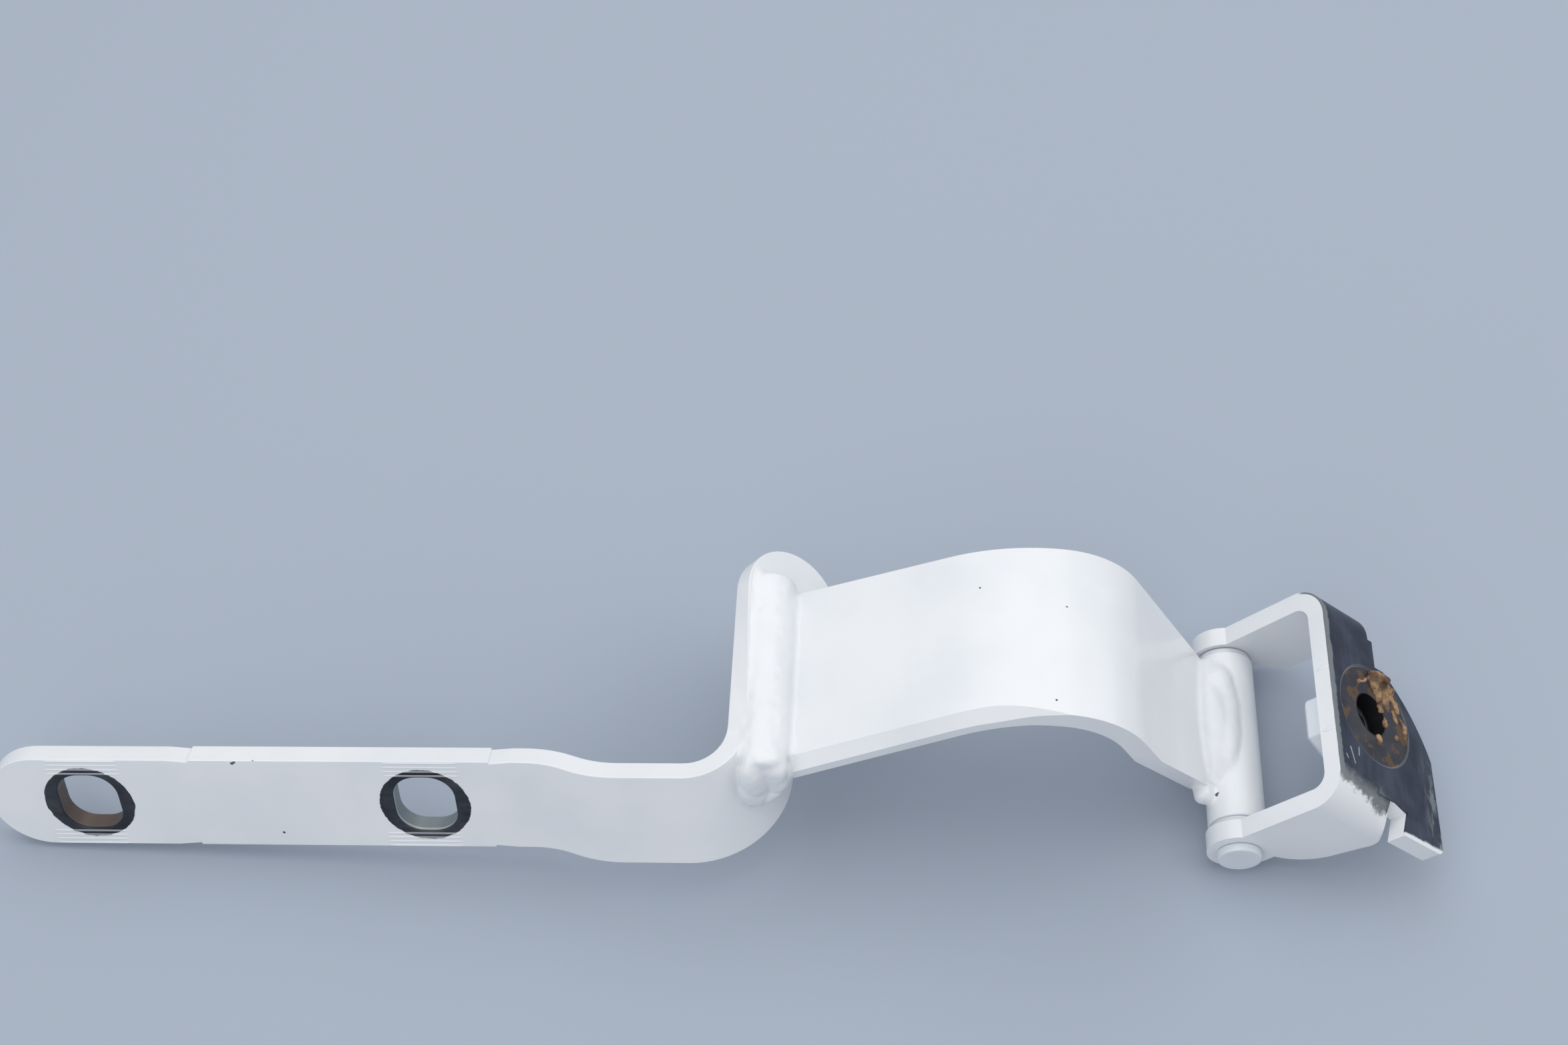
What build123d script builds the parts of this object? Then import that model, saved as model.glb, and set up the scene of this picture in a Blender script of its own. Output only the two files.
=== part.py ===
from build123d import *
import math
import os

# Tailgate hinge: a cranked door strap with a gooseneck, and the clevis bracket that turns on its pin.
# Millimetres. While it is drawn, X runs along the strap, Y along the hinge pin and Z upwards.
# It is set down on its resting points at the end.

# Strap bar
STRAP_WIDTH = 30.0
STRAP_THICK = 5.7
STRAP_LEAN = 19.6            # the strap's face leans back from upright, degrees
STRAP_END_TO_HOLE = 27.5
HOLE_SPACING = 90.8
HOLE_ALONG = 16.4
HOLE_ACROSS = 18.8
HOLE_CORNER = 6.8
JOGGLE_START = 118.0
JOGGLE_RUN = 25.0
JOGGLE_RISE = 5.5
CORNER_START = 160.0
CORNER_RADIUS = 10.9         # inside, at the near edge
LEG_LEAN = 49.0              # at the leg's free end, degrees
LEG_REACH = 57.0             # corner to the leg's round end
NOTCH_DEPTH = 0.6            # shear marks in the strap's edges
NOTCH_RUN = 6.0
NEAR_NOTCHES = (23.5, 109.5)
FAR_NOTCHES = (21.5, 108.0)

# Gooseneck plate
NECK_THICK = 6.0
NECK_SLOPE = 23.3            # rise of the straight part, degrees
NECK_RAMP = 54.0
NECK_SET = 7.93              # where its upper end starts, from the leg's inner near edge
NECK_SINK = 7.13
CREST_RADIUS = 52.0
CREST_FALL = 10.0            # where the crest tightens into the shoulder, degrees
SHOULDER_RADIUS = 27.0
NECK_DROP = 63.3             # fall towards the barrel, degrees
NECK_TAIL = 46.0
NECK_FAR = 54.0
NECK_NEAR = 4.6
NECK_FLARE = 3.8             # the near edge runs out to this much more at the strap
NECK_WAIST = 10.6            # and draws in by this much at the barrel
WAIST_TOP = -6.0             # height at which it starts to draw in
NECK_BEVEL = 3.0             # dressed near edge, running out past the crest

# Hinge line
BARREL_OUT = 6.37            # pin axis from the end of the plate's upper face
BARREL_DOWN = 4.06
PIN_RADIUS = 4.0
RUNNING_GAP = 0.05           # radial, pin in bush
BUSH_WALL = 1.2
BUSH_LENGTH = 15.0
FLANGE_THICK = 1.5
FLANGE_RADIUS = 7.2
BARREL_RADIUS = 7.75
BARREL_NEAR = 4.5
BARREL_LENGTH = 50.5
HEAD_RADIUS = 5.9
HEAD_HEIGHT = 2.4
HEAD_EDGE = 0.6
RIVET_RADIUS = 5.6
RIVET_HEIGHT = 2.0
RIVET_EDGE = 1.2

# Clevis bracket
BRACKET_ANGLE = 45.0         # the base stands up from the pin at this angle, degrees
PLATE = 5.4
ARM_GAP = 0.3                # flange face to arm
BASE_REACH = 39.0            # pin axis to the base's outer face
BEND_RADIUS = 9.5            # outside
EYE_RADIUS = 8.5
ARM_FRONT = 6.0
ARM_BACK = 20.6              # widest part of the near arm, behind the pin axis
HEEL_LAND = 1.5              # heel of the near arm, measured in from the base's outer face
HEEL_RUN = 8.0
HEEL_RISE = 1.4
WIDEST_RUN = 10.5
FLANK_RUN = 14.0
FLANK_RISE = 0.3
THROAT_START = 17.0          # throat between heel and eye, measured out from the pin axis
THROAT_RISE = 2.0
THROAT_MIDDLE = 10.0
THROAT_DEPTH = 5.0
EYE_LAND = 5.0
FAR_ARM_BACK = 16.2
FAR_HEEL = 12.6              # the far arm's width left at the fold
FAR_FLANK = 20.0             # where the far arm starts and ends its slope to the heel
FAR_SLOPE_END = 6.0
BASE_BACK = 14.4
TONGUE_BACK = 35.3
TONGUE_NEAR = -4.8
TONGUE_FAR = 44.0
TONGUE_CUT = 16.2            # root of the slot between near arm and tongue
TONGUE_LAP = 5.0             # tongue carried up into the base
TONGUE_CORNER = 2.5
LOBE_START = 3.6             # round lobe at the tongue's far side
LOBE_OUT = 10.7
LOBE_RISE = 5.8
LOBE_RUN = 21.0
TAB_ROOT = 1.2               # root of the tongue's near tab, inside the near arm's face
TAB_OVERHANG = 0.2
TAB_CORNER = 2.2
TAB_STEP = 4.8
BOLT_RADIUS = 6.0
BOLT_ALONG = 27.8
BOLT_BACK = 10.2
SEAT_RADIUS = 14.5
SEAT_DEPTH = 0.25
SEAT_SHIFT = 1.3
NUT_FLATS = 19.0
NUT_HEIGHT = 10.0
NUT_EDGE = 1.6
NUT_TURN = 30.0              # one flat faces the front
THREAD_RADIUS = 5.1
RESIDUE_THICK = 1.6
RESIDUE_EDGE = ((11.0, 1.3), (11.2, 6.5), (5.0, 12.6), (-4.5, 13.4), (-1.5, 9.5), (6.5, 5.5))

# Welds
BEAD_WIDTH = 13.0
BEAD_RISE = 4.6
BEAD_NEAR = -1.5
BEAD_FAR = 63.5
BEAD_LAP = 5.0               # how far it lies over onto the leg
BEAD_SINK = 1.0
WRAP_RADIUS = 3.1            # the run's near end, turned down round the plate's edge
WRAP_LENGTH = 12.0
WRAP_ALONG = 3.4
WRAP_OUT = 0.6
WRAP_SHIFT = 0.8
UNDER_BEAD = 4.5
UNDER_SINK = 0.6
UNDER_SHIFT = 10.5           # the leg's twist carries the under bead along the plate by this much
BARREL_BEAD = 5.0
BARREL_BEAD_OUT = 1.0
BARREL_BEAD_UP = 2.2
BARREL_BEAD_NEAR = 0.7       # past the waist
BARREL_BEAD_FAR = 0.4        # short of the plate's far edge
BARREL_UNDER_BEAD = 4.2
UNDER_BEAD_OUT = 2.6
UNDER_BEAD_DOWN = 0.6
UNDER_BEAD_NEAR = 1.0
UNDER_BEAD_FAR = 2.0
TACK_RADIUS = 2.8
TACK_BACK = 2.3
TACK_UP = 0.4

# How it lies on a flat surface
REST_TILT = 3.66             # degrees about the pin's direction

os.makedirs("parts", exist_ok=True)


def turned(point, degrees):
    """Point of the X-Z plane turned about its origin, X towards Z."""
    c = math.cos(math.radians(degrees))
    s = math.sin(math.radians(degrees))
    return (point[0] * c - point[1] * s, point[0] * s + point[1] * c)


def rod(x, z, radius, y0, y1):
    """Round bar parallel to the pin."""
    return Pos(x, (y0 + y1) / 2, z) * Rot(90, 0, 0) * Cylinder(radius, y1 - y0)


def ridge(x, z, radius, y0, y1):
    """Bead parallel to the pin with rounded ends."""
    bead = rod(x, z, radius, y0, y1)
    return fillet(bead.edges().filter_by(GeomType.CIRCLE), radius * 0.7)


def spindle(x, z, radius, y0, y1):
    """Bead parallel to the pin, thickest at the middle and running out to small blunt ends."""
    blunt = radius / 5
    rim = ThreePointArc((x + blunt, y0, z), (x + radius, (y0 + y1) / 2, z), (x + blunt, y1, z))
    core = Polyline((x + blunt, y1, z), (x, y1, z), (x, y0, z), (x + blunt, y0, z))
    return revolve(make_face([rim, core]), Axis((x, y0, z), (0, 1, 0)), 360)


# Strap: a flat bar cut to length with one round end and pierced, pressed into a joggle, then
# swept round a corner and twisted a little along its short leg. One piece throughout.
lean_c = math.cos(math.radians(STRAP_LEAN))
lean_s = math.sin(math.radians(STRAP_LEAN))
face = Plane(origin=(0, 0, 0), x_dir=(1, 0, 0), z_dir=(0, -lean_c, lean_s))
swing = 2 * math.atan2(JOGGLE_RISE, JOGGLE_RUN)
mid_radius = JOGGLE_RUN / (2 * math.sin(swing))
swing = math.degrees(swing)
half = STRAP_THICK / 2
side = Plane(origin=(0, 0, 0), x_dir=(1, 0, 0), z_dir=face.y_dir * -1)
with BuildSketch(side) as bar_side:
    with BuildLine():
        front = Line((-STRAP_END_TO_HOLE, 0), (JOGGLE_START, 0))
        rise = JernArc(front @ 1, front % 1, mid_radius - half, swing)
        level = JernArc(rise @ 1, rise % 1, mid_radius + half, -swing)
        top = Line(level @ 1, (CORNER_START, JOGGLE_RISE))
        end = Line(top @ 1, (CORNER_START, JOGGLE_RISE - STRAP_THICK))
        back = Line((-STRAP_END_TO_HOLE, -STRAP_THICK), (JOGGLE_START, -STRAP_THICK))
        back_rise = JernArc(back @ 1, back % 1, mid_radius + half, swing)
        back_level = JernArc(back_rise @ 1, back_rise % 1, mid_radius - half, -swing)
        Line(back_level @ 1, end @ 1)
        Line(front @ 0, back @ 0)
    make_face()
bar = extrude(bar_side.sketch, amount=STRAP_WIDTH)
round_x = STRAP_WIDTH / 2 - STRAP_END_TO_HOLE
with BuildSketch(face) as blank:
    with Locations(((round_x + CORNER_START) / 2, -STRAP_WIDTH / 2)):
        Rectangle(CORNER_START - round_x, STRAP_WIDTH)
    with Locations((round_x, -STRAP_WIDTH / 2)):
        Circle(STRAP_WIDTH / 2)
    with Locations((0, -STRAP_WIDTH / 2), (HOLE_SPACING, -STRAP_WIDTH / 2)):
        RectangleRounded(HOLE_ALONG, HOLE_ACROSS, HOLE_CORNER, mode=Mode.SUBTRACT)
    with Locations([(x + NOTCH_RUN / 2, 0) for x in NEAR_NOTCHES]):
        Rectangle(NOTCH_RUN, 2 * NOTCH_DEPTH, mode=Mode.SUBTRACT)
    with Locations([(x + NOTCH_RUN / 2, -STRAP_WIDTH) for x in FAR_NOTCHES]):
        Rectangle(NOTCH_RUN, 2 * NOTCH_DEPTH, mode=Mode.SUBTRACT)
bar = bar & extrude(blank.sketch, amount=STRAP_WIDTH, both=True)


def leg_section(y, lean, x, z):
    """Cross-section of the leg at y, leaning about its inner near edge at (x, z)."""
    across = turned((STRAP_THICK, 0), lean)
    down = turned((0, -STRAP_WIDTH), lean)
    corners = [(0, 0), across, (across[0] + down[0], across[1] + down[1]), down]
    return make_face(Polyline([(x + a, y, z + b) for a, b in corners], close=True))


near_y = -(JOGGLE_RISE - STRAP_THICK) * lean_c
near_z = (JOGGLE_RISE - STRAP_THICK) * lean_s
corner_y = near_y + CORNER_RADIUS
leg_x = CORNER_START + CORNER_RADIUS
leg_start = leg_section(corner_y, STRAP_LEAN, leg_x, near_z)
corner = revolve(leg_start, Axis((CORNER_START, corner_y, 0), (0, 0, -1)), 90)
round_y = corner_y + LEG_REACH - STRAP_WIDTH / 2
leg_turn = leg_section(round_y, LEG_LEAN, leg_x, near_z)
leg = loft([leg_start, leg_turn], ruled=True)
leg_c = math.cos(math.radians(LEG_LEAN))
leg_s = math.sin(math.radians(LEG_LEAN))
leg_face = Plane(origin=(leg_x, round_y, near_z), x_dir=(leg_s, 0, -leg_c), z_dir=(leg_c, 0, leg_s))
with BuildSketch(leg_face) as leg_round:
    with Locations((STRAP_WIDTH / 2, 0)):
        Circle(STRAP_WIDTH / 2)
    with Locations((STRAP_WIDTH / 2, -STRAP_WIDTH / 2)):
        Rectangle(STRAP_WIDTH, STRAP_WIDTH, mode=Mode.SUBTRACT)
leg_end = extrude(leg_round.sketch, amount=STRAP_THICK)
strap = bar + corner + leg + leg_end

# Gooseneck: one plate bent over a crest. Its square upper end stands against the leg, its lower
# end is coped to the barrel, and its near edge is dressed to a bevel along the straight part.
slope_c = math.cos(math.radians(NECK_SLOPE))
slope_s = math.sin(math.radians(NECK_SLOPE))
neck_start = (leg_x + NECK_SET, near_z - NECK_SINK)
ramp_end = (neck_start[0] + NECK_RAMP * slope_c, neck_start[1] + NECK_RAMP * slope_s)
crest_x = ramp_end[0] + CREST_RADIUS * slope_s
crest_z = ramp_end[1] - CREST_RADIUS * slope_c
crest_turn = -NECK_SLOPE - CREST_FALL
drop_turn = CREST_FALL - NECK_DROP
under_start = (neck_start[0] + NECK_THICK * slope_s, neck_start[1] - NECK_THICK * slope_c)
neck_edge = NECK_NEAR - NECK_FLARE
neck_plane = Plane(origin=(0, NECK_FAR, 0), x_dir=(1, 0, 0), z_dir=(0, -1, 0))
with BuildSketch(neck_plane) as neck_side:
    with BuildLine():
        ramp = Line(neck_start, ramp_end)
        crest = JernArc(ramp @ 1, ramp % 1, CREST_RADIUS, crest_turn)
        shoulder = JernArc(crest @ 1, crest % 1, SHOULDER_RADIUS, drop_turn)
        tail = Line(shoulder @ 1, (shoulder @ 1) + (shoulder % 1) * NECK_TAIL)
        under = Line(under_start, Vector(*under_start) + (ramp % 0) * NECK_RAMP)
        under_crest = JernArc(under @ 1, under % 1, CREST_RADIUS - NECK_THICK, crest_turn)
        under_shoulder = JernArc(under_crest @ 1, under_crest % 1, SHOULDER_RADIUS - NECK_THICK, drop_turn)
        under_tail = Line(under_shoulder @ 1, (under_shoulder @ 1) + (under_shoulder % 1) * NECK_TAIL)
        Line(ramp @ 0, under @ 0)
        Line(tail @ 1, under_tail @ 1)
    make_face()
neck = extrude(neck_side.sketch, amount=NECK_FAR - neck_edge)
tail_end = (tail @ 1).X, (tail @ 1).Y
under_end = (under_tail @ 1).X, (under_tail @ 1).Y
pin_x = tail_end[0] + BARREL_OUT
pin_z = tail_end[1] - BARREL_DOWN
spare = 30.0
waste = [(crest_x, NECK_NEAR), (neck_start[0], neck_edge), (neck_start[0] - spare, neck_edge - spare),
         (pin_x + spare, neck_edge - spare), (pin_x + spare, NECK_NEAR)]
waste_face = make_face(Polyline([(x, y, pin_z - spare) for x, y in waste], close=True))
neck = neck - extrude(waste_face, amount=crest_z + CREST_RADIUS - pin_z + 2 * spare, dir=(0, 0, 1))
waist_y = NECK_NEAR + NECK_WAIST
waist = [(NECK_NEAR, WAIST_TOP), (waist_y, under_end[1]), (waist_y, under_end[1] - spare),
         (neck_edge - spare, under_end[1] - spare), (neck_edge - spare, WAIST_TOP)]
waist_face = make_face(Polyline([(crest_x, y, z) for y, z in waist], close=True))
neck = neck - extrude(waist_face, amount=pin_x - crest_x, dir=(1, 0, 0))


def bevel_section(heading, back, size):
    """Triangle across the plate's near upper edge, drawn with a millimetre to spare."""
    across = math.radians(heading)
    up = Vector(-math.sin(across), 0, math.cos(across))
    far = Vector(0, 1, 0)
    along = Vector(math.cos(across), 0, math.sin(across))
    edge = Vector(crest_x, 0, crest_z) + up * CREST_RADIUS - along * back
    lead = min(1, (crest_x - edge.X) / (crest_x - neck_start[0]))
    edge = edge + far * (NECK_NEAR - NECK_FLARE * max(0, lead))
    on_top = edge + (far + up) * 1 + far * size
    on_side = edge - (far + up) * 1 - up * size
    return make_face(Polyline([on_top, on_side, edge + up * 2 - far * 2], close=True))


bevels = [bevel_section(NECK_SLOPE, NECK_RAMP + 4, NECK_BEVEL)]
steps = 5
for step in range(steps + 1):
    heading = NECK_SLOPE - (NECK_SLOPE + CREST_FALL) * step / steps
    bevels.append(bevel_section(heading, 0, NECK_BEVEL * min(1, 1.8 * (1 - step / steps) + 0.02)))
neck = neck - loft(bevels, ruled=True)
neck = neck - strap
neck = neck - rod(pin_x, pin_z, BARREL_RADIUS, BARREL_NEAR - spare, NECK_FAR + spare)
gooseneck = neck.solids().sort_by(SortBy.VOLUME)[-1]

# Barrel: a plain tube across the end of the gooseneck, and a flanged bush pressed in at each end.
bush_radius = PIN_RADIUS + RUNNING_GAP + BUSH_WALL
barrel_far = BARREL_NEAR + BARREL_LENGTH
barrel = rod(pin_x, pin_z, BARREL_RADIUS, BARREL_NEAR, barrel_far)
barrel = barrel - rod(pin_x, pin_z, bush_radius, BARREL_NEAR - 1, barrel_far + 1)
bushes = []
for end_y, inward in ((BARREL_NEAR, 1), (barrel_far, -1)):
    sleeve = sorted((end_y, end_y + inward * BUSH_LENGTH))
    flange = sorted((end_y, end_y - inward * FLANGE_THICK))
    bush = rod(pin_x, pin_z, bush_radius, *sleeve) + rod(pin_x, pin_z, FLANGE_RADIUS, *flange)
    bushes.append(bush - rod(pin_x, pin_z, PIN_RADIUS + RUNNING_GAP, BARREL_NEAR - spare, barrel_far + spare))
near_bush, far_bush = bushes

# Welds: beads laid in the corners after the pieces were set together, so each fills what the
# pieces leave. The two under beads are out of sight.
bead_x = neck_start[0] + BEAD_WIDTH / 2 - BEAD_LAP
bead_low = (bead_x, neck_start[1] - BEAD_SINK)
bead_left = (bead_x - BEAD_WIDTH / 2, near_z)
bead_right = (bead_x + BEAD_WIDTH / 2, neck_start[1] + BEAD_WIDTH * slope_s - BEAD_SINK)
bead_top = ((bead_left[0] + bead_right[0]) / 2 - slope_s, (bead_left[1] + bead_right[1]) / 2 + BEAD_RISE)
bead_plane = Plane(origin=(0, BEAD_FAR, 0), x_dir=(1, 0, 0), z_dir=(0, -1, 0))
with BuildSketch(bead_plane) as bead_side:
    with BuildLine():
        ThreePointArc(bead_left, bead_top, bead_right)
        Polyline(bead_right, bead_low, bead_left)
    make_face()
bead_length = BEAD_FAR - BEAD_NEAR
bead_run = Pos(bead_x, BEAD_NEAR + bead_length / 2, 0) * SlotOverall(bead_length, BEAD_WIDTH, rotation=90)
strap_bead = extrude(bead_side.sketch, amount=bead_length) & extrude(bead_run, amount=spare, both=True)
wrap = Cylinder(WRAP_RADIUS, WRAP_LENGTH)
wrap = fillet(wrap.edges().filter_by(GeomType.CIRCLE), WRAP_RADIUS * 0.7)
wrap_at = Pos(bead_x + WRAP_ALONG, neck_edge - WRAP_OUT, neck_start[1] + WRAP_SHIFT)
strap_bead = strap_bead + wrap_at * wrap
strap_weld_outer = (strap_bead - strap - gooseneck).solids().sort_by(SortBy.VOLUME)[-1]
under_from = Vector(under_start[0] + UNDER_SINK, NECK_NEAR + UNDER_BEAD, under_start[1] - UNDER_SINK)
under_rise = Vector(1, 0, slope_s / slope_c) * UNDER_SHIFT
under_to = Vector(under_from.X, NECK_FAR - UNDER_BEAD, under_from.Z) + under_rise
under_line = under_to - under_from
under_plane = Plane(origin=under_from, z_dir=under_line)
under_bead = under_plane * extrude(Circle(UNDER_BEAD), amount=under_line.length)
under_bead = fillet(under_bead.edges().filter_by(GeomType.CIRCLE), UNDER_BEAD * 0.7)
strap_weld_inner = (under_bead - strap - gooseneck).solids().sort_by(Axis.X)[-1]
barrel_bore = rod(pin_x, pin_z, BARREL_RADIUS, BARREL_NEAR - spare, barrel_far + spare)
top_bead = spindle(tail_end[0] + BARREL_BEAD_OUT, tail_end[1] + BARREL_BEAD_UP, BARREL_BEAD,
                   waist_y - BARREL_BEAD_NEAR, NECK_FAR - BARREL_BEAD_FAR)
barrel_weld_outer = (top_bead - barrel_bore - gooseneck).solids().sort_by(SortBy.VOLUME)[-1]
low_bead = ridge(under_end[0] + UNDER_BEAD_OUT, under_end[1] - UNDER_BEAD_DOWN, BARREL_UNDER_BEAD,
                 waist_y + UNDER_BEAD_NEAR, NECK_FAR - UNDER_BEAD_FAR)
low_bead = low_bead - barrel_bore - gooseneck - barrel_weld_outer
barrel_weld_inner = low_bead.solids().sort_by(SortBy.VOLUME)[-1]
tack = ridge(tail_end[0] - TACK_BACK, tail_end[1] + TACK_UP, TACK_RADIUS, waist_y - 2 * TACK_RADIUS, waist_y)
tack = tack - gooseneck - barrel_bore - barrel_weld_outer - barrel_weld_inner
tack_weld = tack.solids().sort_by(SortBy.VOLUME)[-1]

# Bracket: one pressing, two arms folded up from a base. Drawn with X from the pin to the base and
# Z to its front, then swung about the pin. Relief slots part the tongue from the folded corners.
arm_near = BARREL_NEAR - FLANGE_THICK - ARM_GAP
arm_far = barrel_far + FLANGE_THICK + ARM_GAP
base_in = BASE_REACH - PLATE
depth = ARM_FRONT + EYE_RADIUS + TONGUE_BACK
mid_arm = (arm_near + arm_far) / 2
gap_width = arm_far - arm_near
with BuildSketch() as channel:
    with Locations(((BASE_REACH - spare) / 2, mid_arm)):
        Rectangle(BASE_REACH + spare, gap_width + 2 * PLATE)
    fillet(channel.vertices().group_by(Axis.X)[-1], BEND_RADIUS)
with BuildSketch() as channel_gap:
    with Locations(((base_in - 2 * spare) / 2, mid_arm)):
        Rectangle(base_in + 2 * spare, gap_width)
    fillet(channel_gap.vertices().group_by(Axis.X)[-1], BEND_RADIUS - PLATE)
folded = extrude(channel.sketch, amount=depth, both=True)
folded = folded - extrude(channel_gap.sketch, amount=depth, both=True)
arm_plane = Plane(origin=(0, arm_far + depth, 0), x_dir=(1, 0, 0), z_dir=(0, -1, 0))
with BuildSketch(arm_plane) as arm_side:
    with BuildLine():
        front_edge = Line((0, ARM_FRONT), (BASE_REACH, ARM_FRONT))
        base_edge = Line(front_edge @ 1, (BASE_REACH, -BASE_BACK))
        heel = Line((BASE_REACH - HEEL_LAND, -BASE_BACK), (BASE_REACH - HEEL_RUN, HEEL_RISE - ARM_BACK))
        Line(base_edge @ 1, heel @ 0)
        flank_at = (BASE_REACH - FLANK_RUN, FLANK_RISE - ARM_BACK)
        widest = ThreePointArc(heel @ 1, (BASE_REACH - WIDEST_RUN, -ARM_BACK), flank_at)
        flank = Line(widest @ 1, (THROAT_START, THROAT_RISE - ARM_BACK))
        throat = ThreePointArc(flank @ 1, (THROAT_MIDDLE, THROAT_DEPTH - ARM_BACK), (EYE_LAND, -EYE_RADIUS))
        Polyline(throat @ 1, (0, -EYE_RADIUS), front_edge @ 0)
    make_face()
    Circle(EYE_RADIUS)
folded = folded & extrude(arm_side.sketch, amount=gap_width + 2 * depth + 2 * PLATE)
base_plane = Plane(origin=(base_in, 0, 0), x_dir=(0, 1, 0), z_dir=(1, 0, 0))
tab_root = arm_near + TAB_ROOT
with BuildSketch(base_plane) as tongue_face:
    with BuildLine():
        far_side = Line((TONGUE_FAR, TONGUE_LAP - BASE_BACK), (TONGUE_FAR, -BASE_BACK - LOBE_START))
        lobe_mid = (TONGUE_FAR - LOBE_OUT, LOBE_RISE - TONGUE_BACK)
        lobe = ThreePointArc(far_side @ 1, lobe_mid, (TONGUE_FAR - LOBE_RUN, -TONGUE_BACK))
        back_side = Line(lobe @ 1, (TONGUE_NEAR, -TONGUE_BACK))
        near_side = Line(back_side @ 1, (TONGUE_NEAR, -TONGUE_CUT - TAB_CORNER))
        tab_edge = Line(near_side @ 1, (arm_near - TAB_OVERHANG, -TONGUE_CUT - TAB_STEP))
        Polyline(tab_edge @ 1, (tab_root, -TONGUE_CUT), (tab_root, TONGUE_LAP - BASE_BACK), far_side @ 0)
    make_face()
    fillet(tongue_face.vertices().group_by(Axis.Y)[0].sort_by(Axis.X)[0], TONGUE_CORNER)
trim = [(-spare, -FAR_ARM_BACK), (BASE_REACH - FAR_FLANK, -FAR_ARM_BACK),
        (BASE_REACH - FAR_SLOPE_END, -FAR_HEEL), (BASE_REACH + spare, -FAR_HEEL),
        (BASE_REACH + spare, -depth), (-spare, -depth)]
trim_y = arm_far - BEND_RADIUS / 2
trim_face = make_face(Polyline([(x, trim_y, z) for x, z in trim], close=True))
far_trim = extrude(trim_face, amount=spare, dir=(0, 1, 0))
bracket = folded - far_trim + extrude(tongue_face.sketch, amount=PLATE)
bolt_at = Pos(base_in, BOLT_ALONG, -BOLT_BACK) * Rot(0, 90, 0)
seat_at = Pos(BASE_REACH, BOLT_ALONG, -BOLT_BACK - SEAT_SHIFT) * Rot(0, 90, 0)
bracket = bracket - bolt_at * Cylinder(BOLT_RADIUS, 4 * PLATE)
bracket = bracket - seat_at * Cylinder(SEAT_RADIUS, 2 * SEAT_DEPTH)
bracket = bracket - rod(0, 0, PIN_RADIUS, arm_near - spare, arm_far + spare)

# Weld nut: a tall hexagon on the inside of the base, and the sealant left outside round the hole.
nut_at = Pos(base_in - NUT_HEIGHT, BOLT_ALONG, -BOLT_BACK) * Rot(0, 90, 0)
nut = extrude(RegularPolygon(NUT_FLATS / 2, 6, major_radius=False, rotation=NUT_TURN), amount=NUT_HEIGHT)
nut = chamfer(nut.faces().sort_by(Axis.Z)[0].edges(), NUT_EDGE)
nut = nut - Cylinder(THREAD_RADIUS, 4 * NUT_HEIGHT)
weld_nut = nut_at * nut
residue_plane = base_plane.offset(PLATE - SEAT_DEPTH)
with BuildSketch(residue_plane) as smear:
    with BuildLine():
        Spline([(BOLT_ALONG + along, -BOLT_BACK - back) for along, back in RESIDUE_EDGE], periodic=True)
    make_face()
sealant_residue = extrude(smear.sketch, amount=RESIDUE_THICK)

# Hinge pin: a plain shank with a flat head, riveted over at the far arm.
head_y = arm_near - PLATE
rivet_y = arm_far + PLATE
head = Pos(0, head_y, 0) * Rot(90, 0, 0) * extrude(Circle(HEAD_RADIUS), amount=HEAD_HEIGHT)
head = fillet(head.faces().sort_by(Axis.Y)[0].edges(), HEAD_EDGE)
rivet = Pos(0, rivet_y, 0) * Rot(-90, 0, 0) * extrude(Circle(RIVET_RADIUS), amount=RIVET_HEIGHT)
rivet = fillet(rivet.faces().sort_by(Axis.Y)[-1].edges(), RIVET_EDGE)
hinge_pin = rod(0, 0, PIN_RADIUS, head_y, rivet_y) + head + rivet

swung = Pos(pin_x, 0, pin_z) * Rot(0, -BRACKET_ANGLE, 0)
pieces = {
    "strap": strap,
    "gooseneck": gooseneck,
    "barrel": barrel,
    "strap_weld_outer": strap_weld_outer,
    "strap_weld_inner": strap_weld_inner,
    "barrel_weld_outer": barrel_weld_outer,
    "barrel_weld_inner": barrel_weld_inner,
    "tack_weld": tack_weld,
    "near_bush": near_bush,
    "far_bush": far_bush,
    "bracket": swung * bracket,
    "hinge_pin": swung * hinge_pin,
    "weld_nut": swung * weld_nut,
    "sealant_residue": swung * sealant_residue,
}

# Set down: turned a little about the pin's direction until the strap's free end and both of the
# bracket's eyes touch the surface, then centred over the middle of its outline.
laid = {name: Rot(0, -REST_TILT, 0) * piece for name, piece in pieces.items()}
whole = Compound(children=[Compound(piece.solids()) for piece in laid.values()]).bounding_box()
place = Pos(-(whole.min.X + whole.max.X) / 2, -(whole.min.Y + whole.max.Y) / 2, -whole.min.Z)
for name, piece in laid.items():
    export_step(place * piece, os.path.join("parts", name + ".step"))
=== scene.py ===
import bpy
import bmesh
import math
from mathutils import Matrix, Vector, noise
from mathutils.bvhtree import BVHTree


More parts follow.
